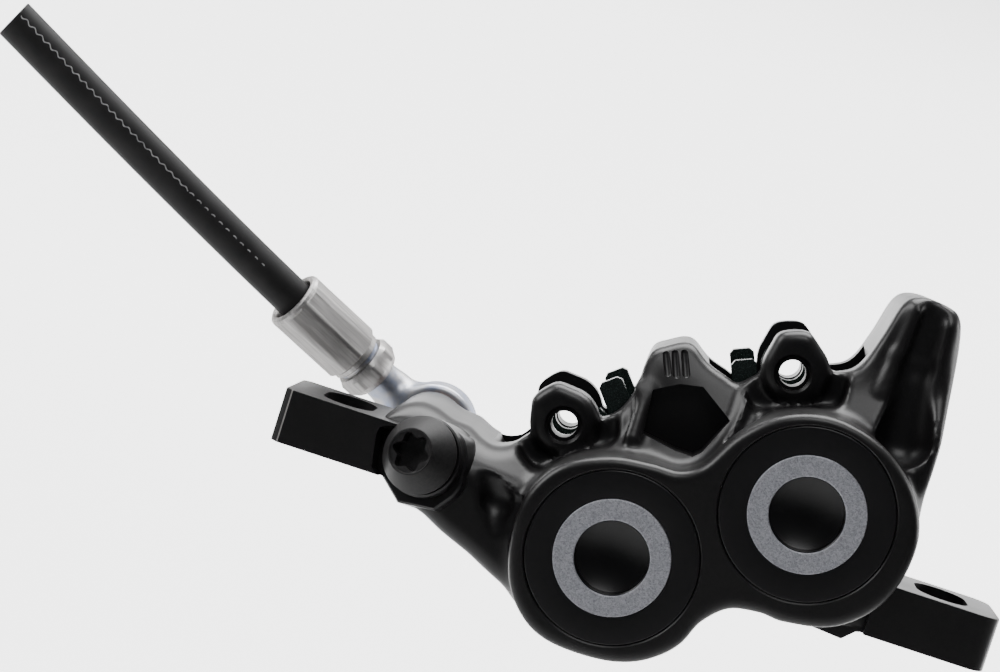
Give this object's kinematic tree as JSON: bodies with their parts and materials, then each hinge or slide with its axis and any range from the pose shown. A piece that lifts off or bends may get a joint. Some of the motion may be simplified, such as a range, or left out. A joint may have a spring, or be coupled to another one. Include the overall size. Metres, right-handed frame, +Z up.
{
  "type": "hydraulic disc brake caliper",
  "caption": "Bicycle hydraulic disc brake caliper with opposed pistons, post mount ears, separate pads, bleed screw and a banjo fitting with a short cut length of hose.",
  "frame": {"origin": "midway between the two mounting slots, 0.3 mm above the seat plane under the ears, in the middle plane of the rotor slot", "axes": "+X from the hose end to the plain end along the line of the mounting slots, +Y inboard along the pistons, +Z up along the mounting bolts, away from the seat"},
  "size_m": [0.1337, 0.0402, 0.0525],
  "materials": {
    "body_black": "gloss black anodised",
    "cap_black": "satin black anodised",
    "ring_grey": "bead blasted",
    "zinc": "zinc plated",
    "bright_metal": "turned",
    "screw_black": "black oxide",
    "copper": "plain",
    "seal_rubber": "matte",
    "piston_metal": "hard anodised",
    "magnet_metal": "nickel plated",
    "plate_paint": "dark paint",
    "friction": "coarse",
    "olive_brass": "plain",
    "hose_black": "matte"
  },
  "bodies": {
    "caliper": {"caliper_body": "body_black", "bore_cap_left": "cap_black", "bore_cap_right": "cap_black", "cap_ring_left": "ring_grey", "cap_ring_right": "ring_grey", "cap_seal_left": "seal_rubber", "cap_seal_right": "seal_rubber", "piston_seal_outboard_left": "seal_rubber", "piston_seal_outboard_right": "seal_rubber", "piston_seal_inboard_left": "seal_rubber", "piston_seal_inboard_right": "seal_rubber", "bleed_screw": "screw_black", "bleed_screw_seal": "seal_rubber", "banjo_bolt": "zinc", "banjo_seal_inner": "copper", "banjo_seal_outer": "copper"},
    "pad_outboard_left": {"piston_outboard_left": "piston_metal", "piston_magnet_outboard_left": "magnet_metal", "pad_plate_outboard_left": "plate_paint", "pad_lining_outboard_left": "friction"},
    "pad_outboard_right": {"piston_outboard_right": "piston_metal", "piston_magnet_outboard_right": "magnet_metal", "pad_plate_outboard_right": "plate_paint", "pad_lining_outboard_right": "friction"},
    "pad_inboard_left": {"piston_inboard_left": "piston_metal", "piston_magnet_inboard_left": "magnet_metal", "pad_plate_inboard_left": "plate_paint", "pad_lining_inboard_left": "friction"},
    "pad_inboard_right": {"piston_inboard_right": "piston_metal", "piston_magnet_inboard_right": "magnet_metal", "pad_plate_inboard_right": "plate_paint", "pad_lining_inboard_right": "friction"},
    "hose_line": {"banjo_fitting": "zinc", "union_nut": "bright_metal", "compression_olive": "olive_brass", "hose_insert": "olive_brass", "brake_hose": "hose_black"}
  },
  "joints": [
    {"name": "piston_slide_outboard_left", "type": "slide", "parent": "caliper", "child": "pad_outboard_left", "axis": [0, 1, 0], "range_m": [0, 0.0012]},
    {"name": "piston_slide_outboard_right", "type": "slide", "parent": "caliper", "child": "pad_outboard_right", "axis": [0, 1, 0], "range_m": [0, 0.0012]},
    {"name": "piston_slide_inboard_left", "type": "slide", "parent": "caliper", "child": "pad_inboard_left", "axis": [0, -1, 0], "range_m": [0, 0.0012]},
    {"name": "piston_slide_inboard_right", "type": "slide", "parent": "caliper", "child": "pad_inboard_right", "axis": [0, -1, 0], "range_m": [0, 0.0012]},
    {"name": "banjo_swivel", "type": "hinge", "parent": "caliper", "child": "hose_line", "pos_m": [-0.02809, 0.0106, 0.0044], "axis": [0, 1, 0], "range_deg": [0, 70]}
  ],
  "couplings": [
    {"joint": "piston_slide_outboard_right", "follows": "piston_slide_outboard_left", "ratio": 1},
    {"joint": "piston_slide_inboard_left", "follows": "piston_slide_outboard_left", "ratio": 1},
    {"joint": "piston_slide_inboard_right", "follows": "piston_slide_outboard_left", "ratio": 1}
  ]
}
